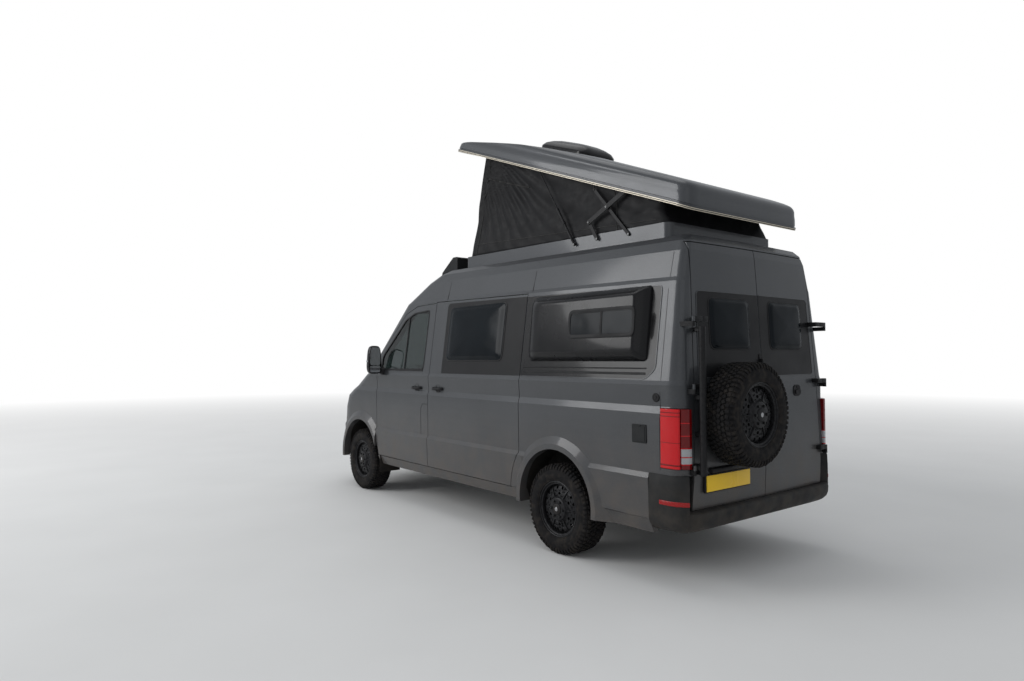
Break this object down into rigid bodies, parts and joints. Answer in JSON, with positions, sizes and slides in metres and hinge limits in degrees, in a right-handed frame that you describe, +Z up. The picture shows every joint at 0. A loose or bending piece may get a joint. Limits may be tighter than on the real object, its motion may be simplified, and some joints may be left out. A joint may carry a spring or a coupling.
{
  "type": "camper van",
  "caption": "High-roof camper van with a raised lifting roof, flared side pods, hinged doors and a rear spare wheel.",
  "frame": {"origin": "on the ground under the middle of the vehicle's box", "axes": "-X is the front of the van, -Y its left side and +Z is up"},
  "size_m": [6.196, 2.424, 3.9561],
  "materials": {
    "body_paint": "gloss metallic dark grey",
    "black_gloss": "gloss black",
    "black_plastic": "grained dark grey",
    "glass": "clear, lightly tinted",
    "acrylic": "dark smoked acrylic",
    "tyre": "matt",
    "rim_black": "satin black",
    "lamp_red": "clear red",
    "lamp_clear": "clear",
    "canvas": "woven, folded",
    "seat_cloth": "woven",
    "chassis": "satin black",
    "steel": "satin",
    "cast": "rough"
  },
  "bodies": {
    "van_body": {"floor_pan": "chassis", "wheel_liners": "black_plastic", "side_panel_left": "body_paint", "side_panel_right": "body_paint", "roof_shell": "body_paint", "cab_frame": "body_paint", "door_posts": "black_plastic", "front_wings": "body_paint", "front_bumper": "black_plastic", "grille": "black_gloss", "headlamps": "lamp_clear", "windscreen": "glass", "sliding_door": "body_paint", "side_windows": "acrylic", "side_pods": "black_gloss", "pod_windows": "acrylic", "tail_lamps": "lamp_red", "rear_bumper": "black_plastic", "roof_plinth": "body_paint", "wind_deflector": "black_plastic", "canvas": "canvas", "engine_block": "cast", "dashboard": "black_plastic", "cab_seats": "seat_cloth", "rear_axle": "chassis", "front_subframe": "chassis", "rear_hinge_brackets": "chassis"},
    "bonnet": {"bonnet": "body_paint"},
    "cab_door_left": {"cab_door_left": "body_paint", "cab_glass_left": "glass", "mirror_left": "black_plastic"},
    "cab_door_right": {"cab_door_right": "body_paint", "cab_glass_right": "glass", "mirror_right": "black_plastic"},
    "rear_door_left": {"rear_door_left": "body_paint", "rear_window_left": "acrylic", "spare_carrier": "chassis", "spare_tyre": "tyre", "spare_rim": "rim_black"},
    "rear_door_right": {"rear_door_right": "body_paint", "rear_window_right": "acrylic"},
    "poptop_lid": {"poptop_lid": "body_paint", "roof_vent": "black_gloss"},
    "thin_arms": {"thin_arms": "steel"},
    "flat_bars": {"flat_bars": "chassis"},
    "lower_links": {"lower_links": "steel"},
    "strut_cylinders": {"strut_cylinders": "chassis"},
    "strut_rods": {"strut_rods": "steel"},
    "knuckle_left": {"knuckle_left": "cast"},
    "knuckle_right": {"knuckle_right": "cast"},
    "wheel_front_left": {"tyre_front_left": "tyre", "rim_front_left": "rim_black"},
    "wheel_front_right": {"tyre_front_right": "tyre", "rim_front_right": "rim_black"},
    "wheel_rear_left": {"tyre_rear_left": "tyre", "rim_rear_left": "rim_black"},
    "wheel_rear_right": {"tyre_rear_right": "tyre", "rim_rear_right": "rim_black"}
  },
  "joints": [
    {"name": "bonnet_hinge", "type": "hinge", "parent": "van_body", "child": "bonnet", "pos_m": [-2.202, 0, 1.432], "axis": [0, 1, 0], "range_deg": [0, 60]},
    {"name": "cab_door_left_hinge", "type": "hinge", "parent": "van_body", "child": "cab_door_left", "pos_m": [-1.684, -1.007, 1], "axis": [0, 0, -1], "range_deg": [0, 70]},
    {"name": "cab_door_right_hinge", "type": "hinge", "parent": "van_body", "child": "cab_door_right", "pos_m": [-1.684, 1.007, 1], "axis": [0, 0, 1], "range_deg": [0, 70]},
    {"name": "rear_door_left_hinge", "type": "hinge", "parent": "van_body", "child": "rear_door_left", "pos_m": [2.856, -0.884, 1.4], "axis": [0, 0, -1], "range_deg": [0, 105]},
    {"name": "rear_door_right_hinge", "type": "hinge", "parent": "van_body", "child": "rear_door_right", "pos_m": [2.856, 0.884, 1.4], "axis": [0, 0, 1], "range_deg": [0, 180]},
    {"name": "lid_hinge", "type": "hinge", "parent": "van_body", "child": "poptop_lid", "pos_m": [3.012, 0, 2.658], "axis": [0, -1, 0], "range_deg": [0, 20], "deforming": ["canvas"]},
    {"name": "thin_arm_pivot", "type": "hinge", "parent": "van_body", "child": "thin_arms", "pos_m": [2.095, 0, 2.6], "axis": [0, -1, 0], "range_deg": [0, 42.5]},
    {"name": "flat_bar_pivot", "type": "hinge", "parent": "poptop_lid", "child": "flat_bars", "pos_m": [2.106, 0, 2.963], "axis": [0, -1, 0], "range_deg": [-40.07, 0]},
    {"name": "lower_link_pivot", "type": "hinge", "parent": "van_body", "child": "lower_links", "pos_m": [1.749, 0, 2.61], "axis": [0, -1, 0], "range_deg": [0, 65.06]},
    {"name": "strut_pivot", "type": "hinge", "parent": "van_body", "child": "strut_cylinders", "pos_m": [1.477, 0, 2.6], "axis": [0, -1, 0], "range_deg": [0, 53.01]},
    {"name": "strut_slide", "type": "slide", "parent": "strut_cylinders", "child": "strut_rods", "axis": [-0.5283, 0, 0.8491], "range_m": [-0.3093, 0]},
    {"name": "steering_left", "type": "hinge", "parent": "van_body", "child": "knuckle_left", "pos_m": [-2.102, -0.8, 0.37], "axis": [0, 0, 1], "range_deg": [-33, 33]},
    {"name": "steering_right", "type": "hinge", "parent": "van_body", "child": "knuckle_right", "pos_m": [-2.102, 0.8, 0.37], "axis": [0, 0, 1], "range_deg": [-33, 33]},
    {"name": "wheel_front_left_spin", "type": "hinge", "parent": "knuckle_left", "child": "wheel_front_left", "pos_m": [-2.102, -0.867, 0.37], "axis": [0, 1, 0], "continuous": true},
    {"name": "wheel_front_right_spin", "type": "hinge", "parent": "knuckle_right", "child": "wheel_front_right", "pos_m": [-2.102, 0.867, 0.37], "axis": [0, 1, 0], "continuous": true},
    {"name": "wheel_rear_left_spin", "type": "hinge", "parent": "van_body", "child": "wheel_rear_left", "pos_m": [1.538, -0.867, 0.37], "axis": [0, 1, 0], "continuous": true},
    {"name": "wheel_rear_right_spin", "type": "hinge", "parent": "van_body", "child": "wheel_rear_right", "pos_m": [1.538, 0.867, 0.37], "axis": [0, 1, 0], "continuous": true}
  ],
  "couplings": [
    {"joint": "thin_arm_pivot", "follows": "lid_hinge", "ratio": 2.125},
    {"joint": "flat_bar_pivot", "follows": "lid_hinge", "ratio": -2.0035},
    {"joint": "lower_link_pivot", "follows": "lid_hinge", "ratio": 3.253},
    {"joint": "strut_pivot", "follows": "lid_hinge", "ratio": 2.6505},
    {"joint": "strut_slide", "follows": "lid_hinge", "m_per_rad": -0.8861},
    {"joint": "steering_right", "follows": "steering_left", "ratio": 1}
  ]
}
